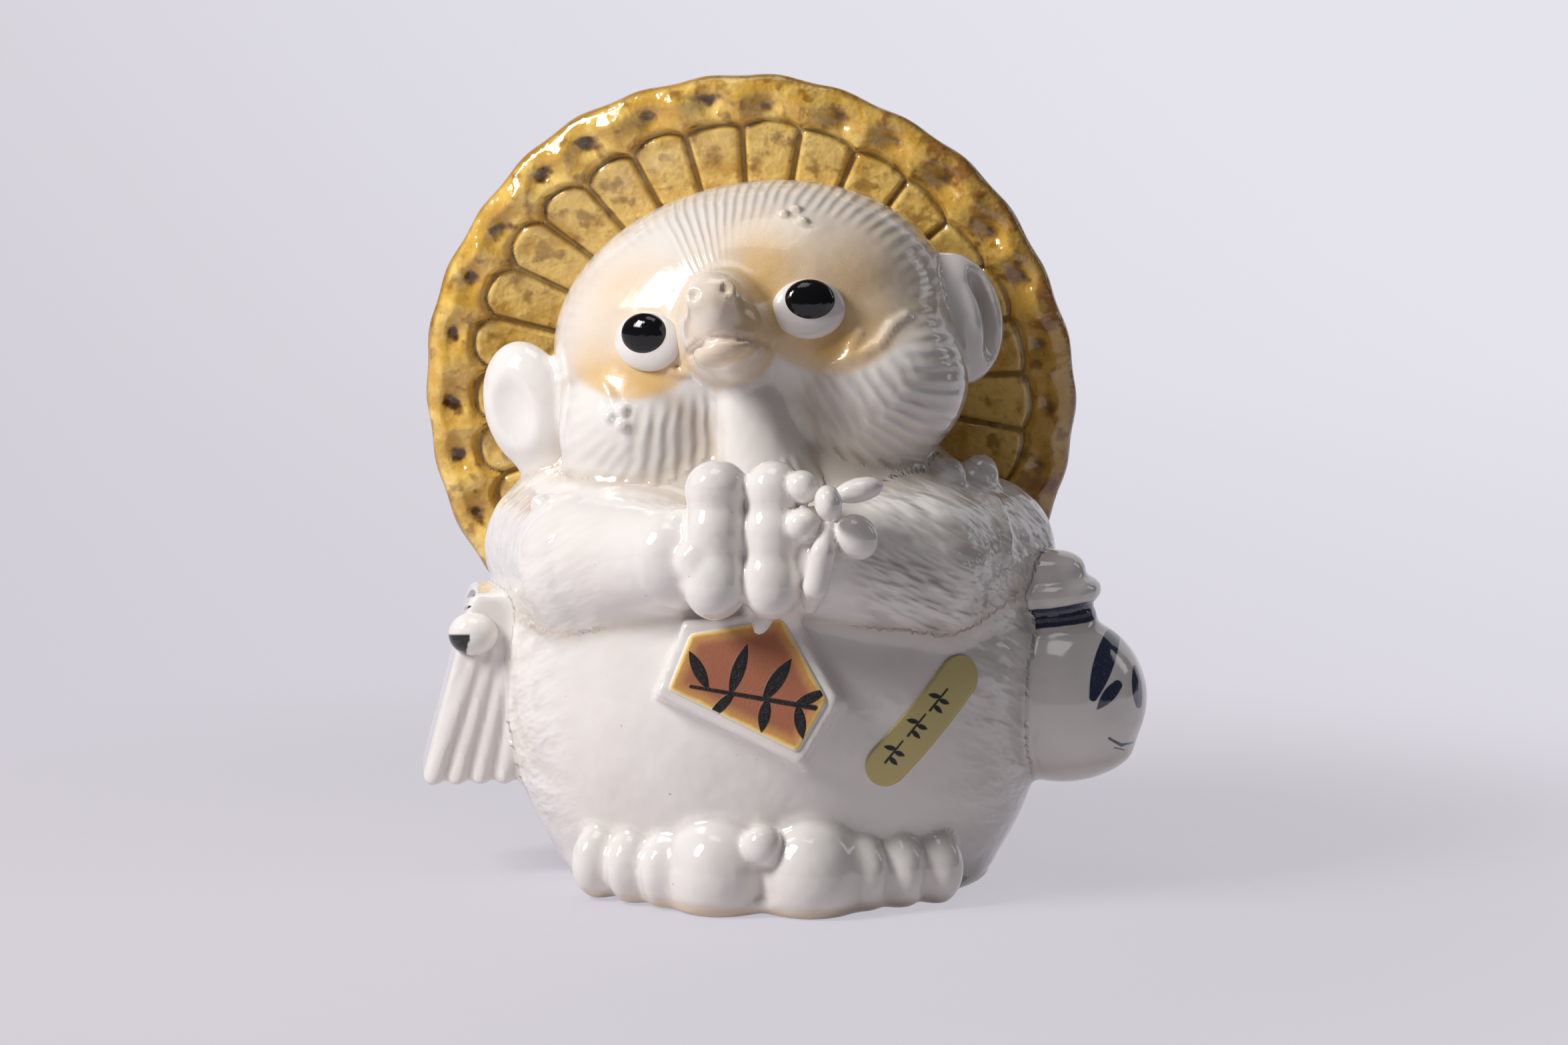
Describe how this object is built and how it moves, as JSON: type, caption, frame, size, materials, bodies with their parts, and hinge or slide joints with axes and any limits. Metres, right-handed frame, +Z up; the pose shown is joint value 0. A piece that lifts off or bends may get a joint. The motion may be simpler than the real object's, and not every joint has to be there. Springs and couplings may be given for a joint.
{
  "type": "tanuki statue",
  "caption": "Hollow glazed stoneware tanuki ornament with a straw hat on its back, paws pressed together, a belly plaque, a flask and a hung book at the hips.",
  "frame": {"origin": "under the middle of the whole figure, on the surface that it stands on", "axes": "+Z up, the figure looks along -Y, +X to the right as seen from the front"},
  "size_m": [0.2236, 0.1704, 0.2409],
  "materials": {
    "white_glaze": "glossy",
    "straw_glaze": "glossy",
    "pupil_glaze": "glossy",
    "cord_glaze": "glossy",
    "bare_clay": "matte",
    "label_paper": "satin"
  },
  "bodies": {
    "root": {"account_book": "white_glaze", "belly_label": "label_paper", "body_back": "white_glaze", "body_front": "white_glaze", "book_knot": "cord_glaze", "bottle": "white_glaze", "bow": "white_glaze", "bow_tail": "white_glaze", "hat": "straw_glaze", "head_back": "white_glaze", "head_front": "white_glaze", "left_arm": "white_glaze", "left_cheek": "white_glaze", "left_ear": "white_glaze", "left_eye_white": "white_glaze", "left_foot": "white_glaze", "left_paw": "white_glaze", "left_pouch": "white_glaze", "left_pupil": "pupil_glaze", "lower_lip": "white_glaze", "muzzle": "white_glaze", "nose": "white_glaze", "plaque": "bare_clay", "plaque_cord": "white_glaze", "pouch_tuft": "white_glaze", "right_arm": "white_glaze", "right_cheek": "white_glaze", "right_ear": "white_glaze", "right_eye_white": "white_glaze", "right_foot": "white_glaze", "right_paw": "white_glaze", "right_pouch": "white_glaze", "right_pupil": "pupil_glaze", "tail": "white_glaze"}
  },
  "joints": []
}
